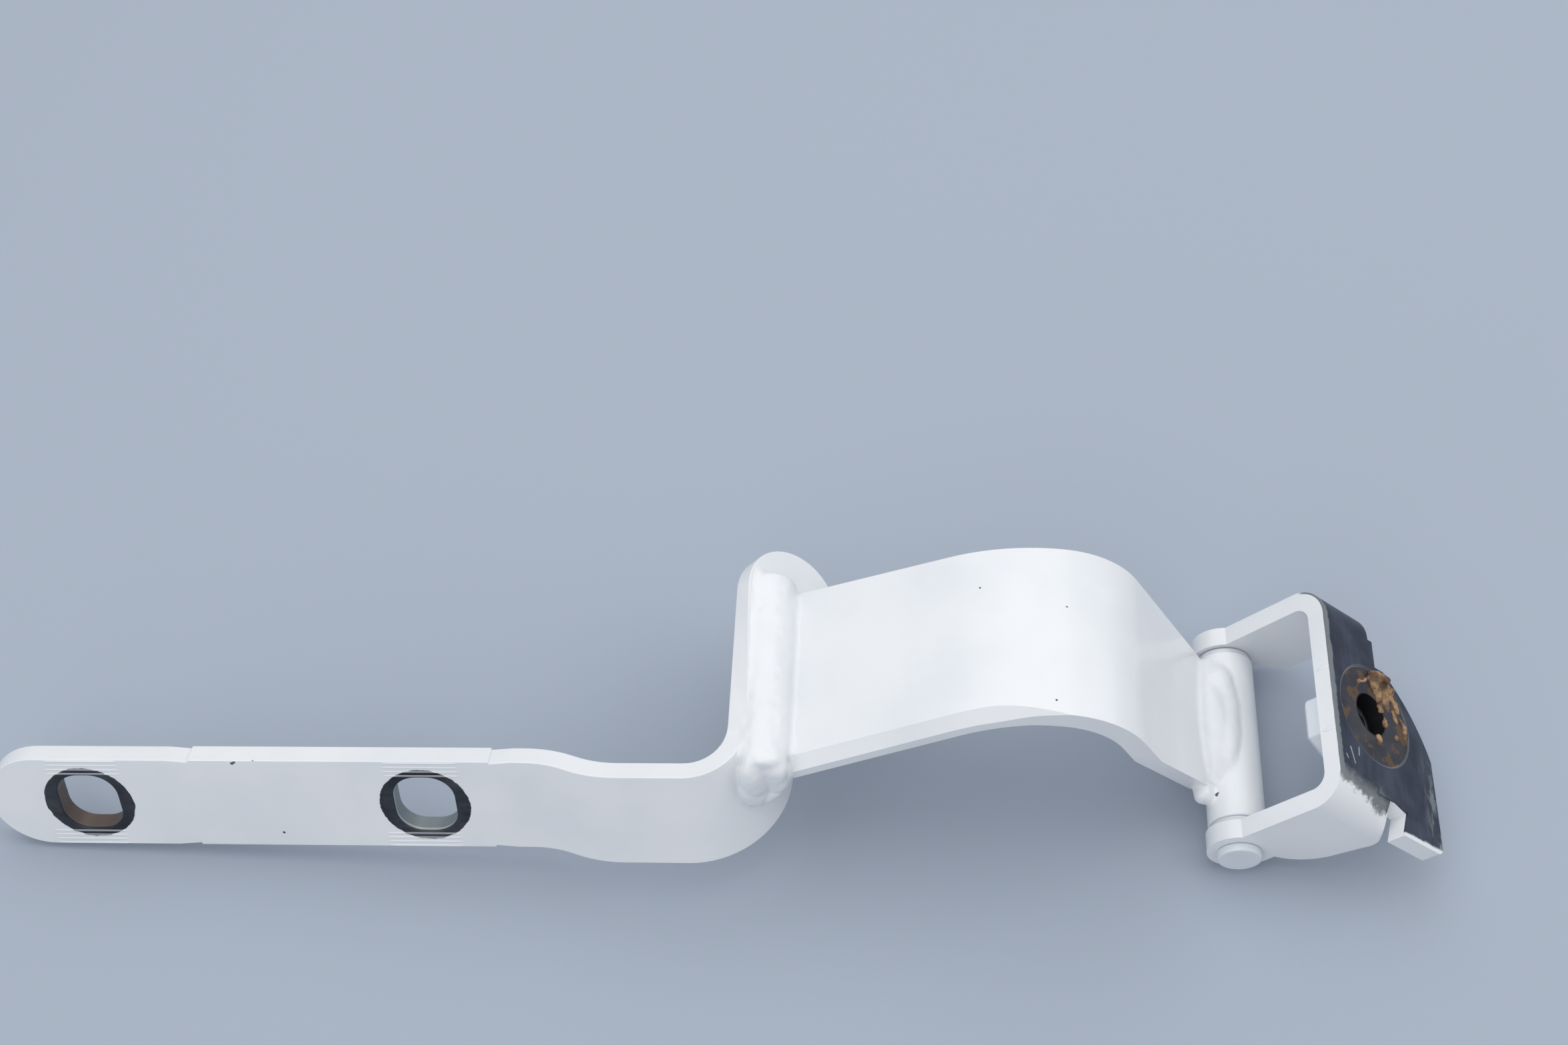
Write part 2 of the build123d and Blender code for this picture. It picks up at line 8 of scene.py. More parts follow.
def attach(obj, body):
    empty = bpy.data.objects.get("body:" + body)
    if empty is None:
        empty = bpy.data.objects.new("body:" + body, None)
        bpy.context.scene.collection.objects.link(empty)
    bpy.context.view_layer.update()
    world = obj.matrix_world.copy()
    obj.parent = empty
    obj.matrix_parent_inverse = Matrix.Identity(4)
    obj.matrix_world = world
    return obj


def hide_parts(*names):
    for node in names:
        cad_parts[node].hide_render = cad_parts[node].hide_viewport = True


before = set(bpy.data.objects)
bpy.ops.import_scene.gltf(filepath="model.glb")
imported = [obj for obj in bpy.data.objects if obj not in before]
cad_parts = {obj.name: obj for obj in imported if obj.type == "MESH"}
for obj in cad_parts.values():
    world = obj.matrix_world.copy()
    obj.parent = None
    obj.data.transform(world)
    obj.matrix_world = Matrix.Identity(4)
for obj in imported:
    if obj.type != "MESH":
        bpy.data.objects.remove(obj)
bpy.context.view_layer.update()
scene = bpy.context.scene
scene.view_settings.view_transform = "Standard"


# The table that the hinge lies on, and the soft studio light above it.
# The table is one wide matt sheet in a pale grey. The light is a large panel overhead, with weaker
# ones in front and at the side.

TABLE_HALF = 3.0
TABLE_GREY = (0.38, 0.43, 0.51, 1.0)
TABLE_ROUGH = 0.85
SKY = (0.93, 0.96, 1.0, 1.0)
SKY_STRENGTH = 0.52
SHARE, FIRST, SECOND, MIXED = 0, 6, 7, 2     # a Mix node's sockets for colours


class Wire:
    """One socket in a material. Sums and products of wires add Math nodes."""

    def __init__(self, tree, socket=None):
        self.tree = tree
        self.socket = socket

    def make(self, kind, settings=None, sockets=None, out=0):
        """Any node: its settings first, then the values or wires of its sockets."""
        node = self.tree.nodes.new(kind)
        for name, value in (settings or {}).items():
            setattr(node, name, value)
        for name, value in (sockets or {}).items():
            if isinstance(value, Wire):
                self.tree.links.new(value.socket, node.inputs[name])
            else:
                node.inputs[name].default_value = value
        return Wire(self.tree, node.outputs[out])

    def sum(self, operation, *values):
        return self.make("ShaderNodeMath", {"operation": operation}, dict(enumerate(values)))

    def __add__(self, other):
        return self.sum("ADD", self, other)

    __radd__ = __add__

    def __sub__(self, other):
        return self.sum("SUBTRACT", self, other)

    def __rsub__(self, other):
        return self.sum("SUBTRACT", other, self)

    def __mul__(self, other):
        return self.sum("MULTIPLY", self, other)

    __rmul__ = __mul__

    def __pow__(self, other):
        return self.sum("POWER", self, other)

    def most(self, other):
        return self.sum("MAXIMUM", self, other)

    def least(self, other):
        return self.sum("MINIMUM", self, other)

    def vector(self, operation, other, out):
        return self.make("ShaderNodeVectorMath", {"operation": operation}, {0: self, 1: other}, out)

    def along(self, direction, origin):
        """How far a place lies from origin in a direction, in metres."""
        return self.vector("SUBTRACT", origin, "Vector").vector("DOT_PRODUCT", direction, "Value")

    def away(self, point):
        """How far a place lies from a point, in metres."""
        return self.vector("DISTANCE", point, "Value")

    def rise(self, low, high):
        """0 below low, 1 above high, smooth between."""
        limits = {"Value": self, "From Min": low, "From Max": high}
        return self.make("ShaderNodeMapRange", {"interpolation_type": "SMOOTHSTEP"}, limits)

    def fall(self, low, high):
        """1 below low, 0 above high, smooth between."""
        return 1.0 - self.rise(low, high)

    def stretched(self, scale):
        return self.make("ShaderNodeMapping", {"vector_type": "POINT"}, {"Vector": self, "Scale": scale})

    def grain(self, scale, detail=2.0, rough=0.5):
        """Noise from 0 to 1, with lumps of about 1/scale metres."""
        look = {"Vector": self, "Scale": scale, "Detail": detail, "Roughness": rough}
        return self.make("ShaderNodeTexNoise", {}, look)

    def cells(self, scale, out):
        return self.make("ShaderNodeTexVoronoi", {}, {"Vector": self, "Scale": scale}, out)

    def mixed(self, share, first, second):
        sockets = {SHARE: share, FIRST: first, SECOND: second}
        return self.make("ShaderNodeMix", {"data_type": "RGBA"}, sockets, MIXED)

    def tint(self, first, second):
        """A colour between two, by this wire."""
        return self.mixed(self, first, second)

    def toned(self, colour, share):
        """This colour, moved by a fixed share to another."""
        return self.mixed(share, self, colour)

    def bump(self, strength, height):
        """A surface's normal, from this wire as its relief."""
        return self.make("ShaderNodeBump", {}, {"Height": self, "Strength": strength, "Distance": height})


def new_finish(name):
    """An empty material, its shader node, and the wire of its places in the shared frame."""
    material = bpy.data.materials.new(name)
    material.use_nodes = True
    tree = material.node_tree
    place = Wire(tree).make("ShaderNodeTexCoord", out="Object")
    return material, tree.nodes["Principled BSDF"], place


def feed(shader, **wires):
    """Links wires to the shader's sockets, with spaces for the low lines in their names."""
    for name, value in wires.items():
        socket = shader.inputs[name.replace("_", " ")]
        if isinstance(value, Wire):
            value.tree.links.new(value.socket, socket)
        else:
            socket.default_value = value


table_mesh = bpy.data.meshes.new("table")
table_corners = [(x * TABLE_HALF, y * TABLE_HALF, 0.0) for x, y in ((-1, -1), (1, -1), (1, 1), (-1, 1))]
table_mesh.from_pydata(table_corners, [], [(0, 1, 2, 3)])
table = bpy.data.objects.new("table", table_mesh)
scene.collection.objects.link(table)
table_sheet, shader, place = new_finish("table_sheet")
feed(shader, Base_Color=TABLE_GREY, Roughness=TABLE_ROUGH)
table_mesh.materials.append(table_sheet)

world = bpy.data.worlds.new("studio")
world.use_nodes = True
sky = world.node_tree.nodes["Background"]
sky.inputs["Color"].default_value = SKY
sky.inputs["Strength"].default_value = SKY_STRENGTH
scene.world = world


def panel(name, at, aim, width, watts):
    """A square soft light panel."""
    light = bpy.data.lights.new(name, "AREA")
    light.size = width
    light.energy = watts
    lamp = bpy.data.objects.new(name, light)
    lamp.location = at
    lamp.rotation_euler = (Vector(aim) - Vector(at)).to_track_quat("-Z", "Y").to_euler()
    scene.collection.objects.link(lamp)


panel("overhead", at=(-0.10, 0.38, 0.95), aim=(0.02, 0.0, 0.02), width=1.3, watts=5.4)
panel("front", at=(-0.55, -0.9, 0.75), aim=(0.0, 0.0, 0.03), width=1.3, watts=4.8)
panel("side", at=(1.0, 0.15, 0.75), aim=(0.10, 0.0, 0.03), width=1.0, watts=3.8)


# The camera: a standard lens that stands in front of the strap and looks down on the hinge.
# Its place and its three axes come from a fit to the hinge's straight edges and round marks.

CAMERA_AT = (0.0349, -0.2933, 0.5334)
CAMERA_RIGHT = Vector((0.99897, 0.0451, -0.0066))
CAMERA_UP = Vector((-0.0332, 0.8194, 0.5724))
CAMERA_BACK = Vector((0.0313, -0.5715, 0.8200))

lens = bpy.data.cameras.new("view")
lens.lens = 50.0
lens.sensor_width = 36.0
lens.clip_start = 0.02
camera = bpy.data.objects.new("view", lens)
camera_turn = Matrix((CAMERA_RIGHT, CAMERA_UP, CAMERA_BACK)).transposed().to_4x4()
camera.matrix_world = Matrix.Translation(CAMERA_AT) @ camera_turn
scene.collection.objects.link(camera)
scene.camera = camera


# The strap: a flat steel bar with a round end and two bolt holes, joggled and swept round into a leg.
# It is pressed from one bar, then sprayed gloss white. Washers have rubbed it bare round the holes.

MM = 0.001
EDGE = 0.8 * MM              # round of the painted edges
STRAP_ORIGIN = Vector((-0.166127, -0.026422, 0.030976))
STRAP_ALONG = Vector((0.99796, 0.0, 0.06384))
STRAP_ACROSS = Vector((0.06014, -0.33545, -0.94013))
STRAP_OUT = Vector((-0.02142, -0.94206, 0.33477))
HOLE_SPACING = 90.8 * MM
HOLE_ACROSS = 15.0 * MM
HOLE_REACH = 10.2 * MM       # to the hole's wall at its corners
PRINT_RADIUS = 12.1 * MM
PRINT_TEAR = 0.45 * MM       # how ragged the print's rim is
SHEAR_DEPTH = 0.6            # millimetres, as are the marks' place along, edge across and way in
SHEAR_MARKS = ((23.5, 0.0, 1.0), (21.5, 30.0, -1.0), (115.5, 0.0, 1.0), (114.0, 30.0, -1.0))
STRAP_CHIPS = (
    (-13.1, -1.2, 0.8), (-12.3, -1.4, 0.6), (41.6, 0.9, 0.7), (42.2, 0.6, 0.6),
    (47.2, -0.3, 0.65), (50.9, 25.3, 0.6), (102.5, -0.7, 0.6),
)
WHITE = (0.82, 0.835, 0.855, 1.0)
COOL_WHITE = (0.76, 0.785, 0.815, 1.0)
CHIP = (0.055, 0.047, 0.04, 1.0)
PRINT_STEEL = (0.022, 0.025, 0.033, 1.0)
PRINT_WORN = (0.075, 0.082, 0.098, 1.0)
WALL_BROWN = (0.15, 0.115, 0.095, 1.0)
WALL_GREY = (0.26, 0.30, 0.31, 1.0)
WALL_LIP = (0.55, 0.58, 0.56, 1.0)
PAINT_ROUGH = 0.29
CLEAR_COAT = 0.35
COAT_ROUGH = 0.1
BARE_ROUGH = 0.3
BARE_METAL = 0.7
PAINT_PROUD = 1.2            # the paint's step above bare steel, as relief
PEEL_HEIGHT = 0.03 * MM
CLOUD_SCALE = 34.0           # lumps in a metre: the paint's clouds, waves, peel and flecks
WAVE_SCALE = 160.0
PEEL_SCALE = 750.0
FLECK_SCALE = 75.0
CHIP_SCALE = 1500.0          # the torn rims of chips and prints, and the stains on a hole's wall
PRINT_SCALE = 520.0
WALL_SCALE = 300.0
STAIN_SCALE = 95.0           # stains and smears on bare steel
SMEAR_SCALE = 240.0
STAIN_SHARE = 0.75
PRINT_STREAK = (250.0, 700.0, 700.0)
CHIP_TEAR = 0.5 * MM
MERGE_WITHIN = 0.002 * MM
FLAT_WITHIN = math.radians(0.3)
SHARP_FROM = math.radians(35.0)


def strap_point(x, across, out=0.0):
    """A point on the strap, from millimetres along, across and out of its face."""
    return STRAP_ORIGIN + (STRAP_ALONG * x + STRAP_ACROSS * across + STRAP_OUT * out) * MM


def rubbed_steel(place, dark, light, streak):
    """Bare steel's colour, from dark to light, rubbed in streaks and softly stained."""
    rub = place.stretched(streak).grain(1.0, 3.0, 0.55)
    stain = place.grain(STAIN_SCALE, 3.0, 0.5)
    return (rub * (1.0 - STAIN_SHARE) + stain * STAIN_SHARE).rise(0.3, 0.75).tint(dark, light)


def painted(name, worn=None, chips=(), white=WHITE, cool=COOL_WHITE):
    """Gloss white paint over steel. worn gives the bare share and its colour, chips points and sizes."""
    material, shader, place = new_finish(name)
    cloud = place.grain(CLOUD_SCALE, 3.0)
    cell = place.cells(FLECK_SCALE, "Color")
    picked = cell.make("ShaderNodeSeparateColor", {}, {0: cell}).rise(0.9, 0.91)
    fleck = place.cells(FLECK_SCALE, "Distance").fall(0.01, 0.018) * picked
    for point, size in chips:
        ragged = place.away(point) + place.grain(CHIP_SCALE) * CHIP_TEAR
        fleck = fleck.most(ragged.fall(size - 0.1 * MM, size + 0.15 * MM))
    colour = fleck.tint(cloud.rise(0.35, 0.7).tint(white, cool), CHIP)
    gloss = PAINT_ROUGH + cloud * 0.10 + fleck * 0.3
    peel = place.grain(PEEL_SCALE, 1.0) * 0.7 + place.grain(WAVE_SCALE, 2.0) * 1.6
    metal = 0.0
    clear = CLEAR_COAT
    if worn:
        share, bare = worn(place)
        kept = 1.0 - share
        smear = place.grain(SMEAR_SCALE, 3.0, 0.55)
        colour = share.tint(colour, bare)
        gloss = gloss * kept + share * (BARE_ROUGH + smear * 0.22)
        metal = share * BARE_METAL
        clear = kept * CLEAR_COAT
        peel = (peel + PAINT_PROUD) * kept + share * (smear * 0.8)
    feed(shader, Base_Color=colour, Roughness=gloss, Metallic=metal)
    feed(shader, Coat_Weight=clear, Coat_Roughness=COAT_ROUGH, Normal=peel.bump(0.5, PEEL_HEIGHT))
    return material


def washer_prints(place):
    """Bare rings where the door's washers sat round both holes, with torn paint at their rims."""
    across = place.along(STRAP_ACROSS, STRAP_ORIGIN) - HOLE_ACROSS
    x = place.along(STRAP_ALONG, STRAP_ORIGIN)
    depth = place.along(STRAP_OUT, STRAP_ORIGIN)
    ragged = place.grain(PRINT_SCALE, 4.0, 0.6) * (2 * PRINT_TEAR) - PRINT_TEAR
    nearest = ((x ** 2.0).least((x - HOLE_SPACING) ** 2.0) + across ** 2.0) ** 0.5
    front = depth.rise(-1.0 * MM, -0.7 * MM)
    wall = nearest.fall(HOLE_REACH - 0.1 * MM, HOLE_REACH + 0.1 * MM) * depth.fall(-0.9 * MM, -0.5 * MM)
    share = (nearest + ragged).fall(PRINT_RADIUS - 0.12 * MM, PRINT_RADIUS + 0.12 * MM) * front
    second = (place.grain(WALL_SCALE, 3.0) * 0.03 + x).rise(0.4 * HOLE_SPACING, 0.8 * HOLE_SPACING)
    face = rubbed_steel(place, PRINT_STEEL, PRINT_WORN, PRINT_STREAK)
    lip = depth.rise(-1.5 * MM, -1.1 * MM) * depth.fall(-0.7 * MM, -0.4 * MM) * second
    bare = wall.tint(face, second.tint(WALL_BROWN, WALL_GREY))
    return share.most(wall), (lip * 0.8).tint(bare, WALL_LIP)


def merged(name):
    """A copy of a CAD node's mesh with its loose triangles joined."""
    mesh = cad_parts[name].data.copy()
    mesh.materials.clear()
    form = bmesh.new()
    form.from_mesh(mesh)
    bmesh.ops.remove_doubles(form, verts=form.verts, dist=MERGE_WITHIN)
    form.to_mesh(mesh)
    form.free()
    return mesh


def plain_mesh(piece):
    """Makes a piece's modifiers part of its mesh."""
    made = bpy.data.meshes.new_from_object(piece.evaluated_get(bpy.context.evaluated_depsgraph_get()))
    piece.modifiers.clear()
    piece.data = made
    return made


def cleaned(mesh, flat=0.0):
    """Joins a mesh's doubled points, and its faces that lie within an angle of each other."""
    form = bmesh.new()
    form.from_mesh(mesh)
    bmesh.ops.remove_doubles(form, verts=form.verts, dist=MERGE_WITHIN)
    bmesh.ops.dissolve_degenerate(form, edges=form.edges, dist=MERGE_WITHIN)
    if flat:
        bmesh.ops.dissolve_limit(form, angle_limit=flat, verts=form.verts, edges=form.edges)
    form.to_mesh(mesh)
    form.free()


def shaded_smooth(mesh):
    """Shades every face of a mesh smooth."""
    mesh.polygons.foreach_set("use_smooth", [True] * len(mesh.polygons))


def rounded(name, edge, material, body, mesh=None):
    """The CAD node of that name with its edges rounded off, as paint and pressing leave them."""
    mesh = mesh or merged(name)
    cleaned(mesh, FLAT_WITHIN)
    shaded_smooth(mesh)
    piece = bpy.data.objects.new(name + "_painted", mesh)
    scene.collection.objects.link(piece)
    bevel = piece.modifiers.new("edges", "BEVEL")
    bevel.width = edge
    bevel.segments = 3
    bevel.limit_method = "ANGLE"
    bevel.angle_limit = SHARP_FROM
    bevel.use_clamp_overlap = True
    cleaned(plain_mesh(piece))
    shade = piece.modifiers.new("shade", "WEIGHTED_NORMAL")
    shade.weight = 90
    plain_mesh(piece).materials.append(material)
    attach(piece, body)
    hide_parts(name)


def eased_marks(mesh):
    """Turns the far step of each shear mark in the strap's edges into a slope."""
    for vertex in mesh.vertices:
        spot = vertex.co - STRAP_ORIGIN
        x, across = spot.dot(STRAP_ALONG) / MM, spot.dot(STRAP_ACROSS) / MM
        for start, edge, way in SHEAR_MARKS:
            if abs(x - start) < 0.5 and abs(across - edge - way * SHEAR_DEPTH) < 0.2:
                vertex.co -= STRAP_ACROSS * (way * SHEAR_DEPTH * MM)
    return mesh


strap_chips = [(strap_point(x, across), size * MM) for x, across, size in STRAP_CHIPS]
strap_paint = painted("strap_paint", washer_prints, strap_chips)
rounded("strap", EDGE, strap_paint, "arm", eased_marks(merged("strap")))


# Grip lines beside the holes: four fine ridges above and below each, pressed up from the strap's face.
# They are part of the bar and carry the same paint, bare where a washer crossed them and there a lighter grey
# than the print around them.

RIDGE_COUNT = 4
RIDGE_STEP = 1.45 * MM
RIDGE_LENGTH = 21.8 * MM
RIDGE_RADIUS = 0.42 * MM
RIDGE_SUNK = 0.24            # millimetres, as are the groups' places along and across the strap
RIDGE_GROUPS = ((0.5, 0.6), (-2.1, 25.2), (91.2, 0.6), (89.2, 25.2))
RIDGE_TAPER = {"From Min": 0.0, "From Max": 0.09, "To Min": 0.45, "To Max": 1.0}
RIDGE_STEEL = (0.22, 0.23, 0.25, 1.0)


def new_tree(name, inputs):
    """An empty node tree that grows a piece from start points, its inputs, and what adds nodes to it."""
    tree = bpy.data.node_groups.new(name, "GeometryNodeTree")
    for label, kind in (("Starts", "Geometry"), *inputs):
        tree.interface.new_socket(label, in_out="INPUT", socket_type="NodeSocket" + kind)
    tree.interface.new_socket("Grown", in_out="OUTPUT", socket_type="NodeSocketGeometry")

    def add(kind, sockets, **settings):
        node = tree.nodes.new(kind)
        for key, value in settings.items():
            setattr(node, key, value)
        for key, value in sockets.items():
            if isinstance(value, bpy.types.NodeSocket):
                tree.links.new(value, node.inputs[key])
            else:
                node.inputs[key].default_value = value
        return node.outputs

    return tree, tree.nodes.new("NodeGroupInput").outputs, add


def close_tree(tree, add, instances, finish):
    """Ends a tree: its instances made real, shaded smooth and given their finish."""
    solid = add("GeometryNodeRealizeInstances", {"Geometry": instances})["Geometry"]
    smooth = add("GeometryNodeSetShadeSmooth", {"Geometry": solid})["Geometry"]
    finished = add("GeometryNodeSetMaterial", {"Geometry": smooth, "Material": finish})["Geometry"]
    tree.links.new(finished, tree.nodes.new("NodeGroupOutput").inputs["Grown"])
    return tree


def ridge_tree(name):
    """Rows of fine tapered ridges, one row at each start point."""
    tree, given, add = new_tree(name, (
        ("Count", "Int"), ("Step", "Vector"), ("Half run", "Vector"),
        ("Radius", "Float"), ("Paint", "Material"),
    ))
    back = add("ShaderNodeVectorMath", {0: given["Half run"], "Scale": -1.0}, operation="SCALE")["Vector"]
    run = add("GeometryNodeCurvePrimitiveLine", {"Start": back, "End": given["Half run"]})["Curve"]
    run = add("GeometryNodeResampleCurve", {"Curve": run, "Count": 13})["Curve"]
    share = add("GeometryNodeSplineParameter", {})["Factor"]
    other = add("ShaderNodeMath", {0: 1.0, 1: share}, operation="SUBTRACT")[0]
    nearest = add("ShaderNodeMath", {0: share, 1: other}, operation="MINIMUM")[0]
    taper = add("ShaderNodeMapRange", {"Value": nearest, **RIDGE_TAPER})[0]
    ring = add("GeometryNodeCurvePrimitiveCircle", {"Resolution": 10, "Radius": given["Radius"]})["Curve"]
    section = {"Curve": run, "Profile Curve": ring, "Scale": taper, "Fill Caps": True}
    bar = add("GeometryNodeCurveToMesh", section)["Mesh"]
    steps = {"Count": given["Count"], "Offset": given["Step"]}
    row = add("GeometryNodeMeshLine", steps, mode="OFFSET")["Mesh"]
    ridges = add("GeometryNodeInstanceOnPoints", {"Points": row, "Instance": bar})["Instances"]
    rows = add("GeometryNodeInstanceOnPoints", {"Points": given["Starts"], "Instance": ridges})["Instances"]
    return close_tree(tree, add, rows, given["Paint"])


def grown(name, starts, tree, **inputs):
    """An object whose mesh a node tree grows from start points, made plain."""
    mesh = bpy.data.meshes.new(name)
    mesh.from_pydata([tuple(start) for start in starts], [], [])
    piece = bpy.data.objects.new(name, mesh)
    scene.collection.objects.link(piece)
    modifier = piece.modifiers.new("grow", "NODES")
    modifier.node_group = tree
    for item in tree.interface.items_tree:
        label = item.name.replace(" ", "_")
        if item.in_out == "INPUT" and label in inputs:
            modifier[item.identifier] = inputs[label]
    plain_mesh(piece)
    return piece


def rubbed_ridges(place):
    """The washer prints as the ridges show them: rubbed, but brighter than the face."""
    share, bare = washer_prints(place)
    return share * 0.8, bare.toned(RIDGE_STEEL, 0.7)


grip_lines = grown(
    "grip_lines",
    [strap_point(x, across, -RIDGE_SUNK) for x, across in RIDGE_GROUPS],
    ridge_tree("grip_line_rows"),
    Count=RIDGE_COUNT,
    Step=tuple(STRAP_ACROSS * RIDGE_STEP),
    Half_run=tuple(STRAP_ALONG * (RIDGE_LENGTH / 2)),
    Radius=RIDGE_RADIUS,
    Paint=painted("ridge_paint", rubbed_ridges),
)
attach(grip_lines, "arm")


# The gooseneck: a thick plate bent up over a crest and down to the barrel, its near edge dressed back.
# It is sheared and bent cold, then sprayed with the rest of the arm. A small pit stays open in the
# paint where the tack weld at its near end meets the barrel.

NECK_CHIPS = (
    ((0.0684, 0.0162, 0.0628), 0.5),
    ((0.0870, -0.0179, 0.0653), 0.5),
    ((0.0903, 0.0099, 0.0650), 0.45),
)
PIT_AT = Vector((0.1346, -0.0151, 0.0137))
PIT_RUN = Vector((0.197, 0.187, 0.221)) * MM
PIT_STEPS = ((-1.1, 0.5), (0.0, 0.66), (1.0, 0.58), (2.2, 0.42))

neck_chips = [(Vector(point), size * MM) for point, size in NECK_CHIPS]
tack_pit = [(PIT_AT + PIT_RUN * step, size * MM) for step, size in PIT_STEPS]
neck_paint = painted("neck_paint", None, neck_chips + tack_pit)
rounded("gooseneck", EDGE, neck_paint, "arm")


# The weld between leg and gooseneck: one broad run along the corner that wraps round the near end.
# It is laid by hand, so it swells and dips, and paint has filled its ripples. A smaller run lies under it.

BEAD_GRAIN = 0.45 * MM
BEAD_REACH = 4.2 * MM        # how far a run flows out over what it joins
BEAD_PROUD = 0.22 * MM
RIM_SUNK = 0.14 * MM
RUN_SKIN = 0.6 * MM
BROAD_SWELL = (150.0, 0.6)   # how close the swells lie, and their share
FINE_SWELL = (380.0, 0.4)
BEAD_END = Vector((0.0, 31.0 * MM, 0.0))
FAR_WAY = Vector((0.0, 1.0, 0.0))
OUTER_RIPPLE = 0.45 * MM
INNER_RIPPLE = 0.35 * MM
TOWARDS_FRONT = Vector((0.72, -0.58, 0.38))
WRAP_LUMPS = (
    ((12.4, -26.6, 37.2), (5.2, 3.3, 8.0), (0.16, -0.14, -0.98), TOWARDS_FRONT),
    ((12.2, -27.6, 31.6), (4.4, 2.6, 6.0), (0.3, -0.1, -0.95), TOWARDS_FRONT),
    ((16.9, -26.4, 29.6), (1.9, 2.5, 6.9), (0.65, 0.30, 0.70), TOWARDS_FRONT),
)


def add_lumps(form, lumps):
    """Egg-shaped lumps, in millimetres: middle, half width, height and length, ways of length and height."""
    for centre, radii, heading, outward in lumps:
        length = Vector(heading).normalized()
        height = Vector(outward)
        height = (height - length * height.dot(length)).normalized()
        turn = Matrix((height.cross(length), height, length)).transposed().to_4x4()
        size = Matrix.Diagonal((*[radius * MM for radius in radii], 1.0))
        shape = Matrix.Translation(Vector(centre) * MM) @ turn @ size
        bmesh.ops.create_icosphere(form, subdivisions=3, radius=1.0, matrix=shape)


def melted(form, name, grain, settle=0):
    """One closed skin round all that a mesh holds, settled by so many rounds of smoothing, as an object."""
    mesh = bpy.data.meshes.new(name)
    form.to_mesh(mesh)
    form.free()
    piece = bpy.data.objects.new(name, mesh)
    scene.collection.objects.link(piece)
    melt = piece.modifiers.new("melt", "REMESH")
    melt.mode = "VOXEL"
    melt.voxel_size = grain
    if settle:
        ease = piece.modifiers.new("settle", "SMOOTH")
        ease.factor = 0.5
        ease.iterations = settle
    plain_mesh(piece)
    return piece


def swell(point, *kinds):
    """Uneven swelling at a point, from kinds of noise with how close they lie and their share."""
    return sum(noise.noise(point * close) * share for close, share in kinds)


def coat(piece, material):
    """Shades a piece smooth and gives it one finish."""
    shaded_smooth(piece.data)
    piece.data.materials.clear()
    piece.data.materials.append(material)


def flowed_out(piece, bead, reach, ripple):
    """Cuts a melted weld off at its reach from the bead, ripples it and sinks its rim, as a thin shell."""
    nearest = BVHTree.FromBMesh(bead)
    low = Vector([min(v.co[i] for v in bead.verts) - 2 * reach for i in range(3)])
    high = Vector([max(v.co[i] for v in bead.verts) + 2 * reach for i in range(3)])
    form = bmesh.new()
    form.from_mesh(piece.data)
    outside = [v for v in form.verts if any(not low[i] < v.co[i] < high[i] for i in range(3))]
    bmesh.ops.delete(form, geom=outside, context="VERTS")
    form.normal_update()
    away = []
    for vertex in form.verts:
        gap = nearest.find_nearest(vertex.co)[3]
        if gap > reach:
            away.append(vertex)
        fade = max(0.0, 1.0 - gap / reach)
        uneven = ripple * swell(vertex.co, BROAD_SWELL, FINE_SWELL)
        vertex.co += vertex.normal * (BEAD_PROUD * fade - RIM_SUNK + uneven * fade * fade)
    bmesh.ops.delete(form, geom=away, context="VERTS")
    bmesh.ops.delete(form, geom=[e for e in form.edges if e.is_wire], context="EDGES")
    bmesh.ops.delete(form, geom=[v for v in form.verts if not v.link_faces], context="VERTS")
    form.to_mesh(piece.data)
    form.free()
    shell = piece.modifiers.new("shell", "SOLIDIFY")
    shell.thickness = RUN_SKIN
    shell.offset = -1.0
    plain_mesh(piece)


def weld_run(name, carriers, ripple, lumps=(), settle=14, lump_settle=9, reach=BEAD_REACH, end=None):
    """A weld as paint leaves it: run into the pieces it joins, softened, and sunk into them at its rim."""
    form = bmesh.new()
    form.from_mesh(merged(name))
    if end:
        parts = form.verts[:] + form.edges[:] + form.faces[:]
        bmesh.ops.bisect_plane(form, geom=parts, plane_co=end, plane_no=FAR_WAY, clear_outer=True)
        bmesh.ops.holes_fill(form, edges=[e for e in form.edges if e.is_boundary])
    bead = form.copy()
    add_lumps(bead, lumps)
    for carrier in carriers:
        form.from_mesh(merged(carrier))
    piece = melted(form, name + "_run", BEAD_GRAIN, settle)
    if lumps:
        form = bmesh.new()
        form.from_mesh(piece.data)
        add_lumps(form, lumps)
        bpy.data.objects.remove(piece)
        piece = melted(form, name + "_run", BEAD_GRAIN, lump_settle)
    flowed_out(piece, bead, reach, ripple)
    bead.free()
    coat(piece, weld_paint)
    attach(piece, "arm")
    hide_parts(name)


weld_paint = painted("weld_paint", None, tack_pit)
leg_joint = ("strap", "gooseneck")
weld_run("strap_weld_outer", leg_joint, OUTER_RIPPLE, WRAP_LUMPS, settle=45, end=BEAD_END)
weld_run("strap_weld_inner", leg_joint, INNER_RIPPLE)


# The barrel: a short steel tube across the gooseneck's end, cut from drawn stock.
# A weld on both sides and a tack at the near end hold it, and all of it is painted over.

BARREL_EDGE = 0.4 * MM
BARREL_RIPPLE = 0.3 * MM
BARREL_REACH = 3.0 * MM
TACK_REACH = 2.0 * MM
UP = Vector((0.0, 0.0, 1.0))
BARREL_LUMPS = (
    ((137.2, 17.5, 15.9), (3.9, 2.7, 6.4), FAR_WAY, UP),
    ((137.6, 8.0, 15.7), (4.5, 2.7, 17.0), FAR_WAY, UP),
)

